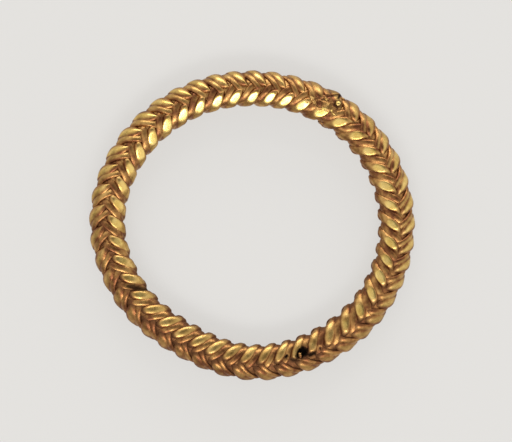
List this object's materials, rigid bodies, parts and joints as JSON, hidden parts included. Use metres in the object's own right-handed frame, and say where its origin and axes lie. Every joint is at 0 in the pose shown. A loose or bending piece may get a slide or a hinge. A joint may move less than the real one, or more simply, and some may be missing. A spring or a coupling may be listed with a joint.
{
  "type": "braided ring",
  "caption": "Slim finger ring braided from strands of gold wire, with rows of slanting worn crests round its four sides and a rough join, slightly oval, lying on its side.",
  "frame": {"origin": "middle of the ring's bounding box in X and Y, at the height of the lowest crests, which it rests on", "axes": "+Z through the finger hole, away from the surface the ring lies on; +X right and +Y up as seen from above in the picture"},
  "size_m": [0.0228, 0.0216, 0.0024],
  "materials": {
    "worn_gold": "rich yellow gold, flattened and brightly worn on the crests, with reddish-brown tarnish in the recesses"
  },
  "bodies": {
    "root": {"left_strand_1": "worn_gold", "left_strand_2": "worn_gold", "left_strand_3": "worn_gold", "left_strand_4": "worn_gold", "right_strand_1": "worn_gold", "right_strand_2": "worn_gold", "right_strand_3": "worn_gold", "right_strand_4": "worn_gold"}
  },
  "joints": []
}
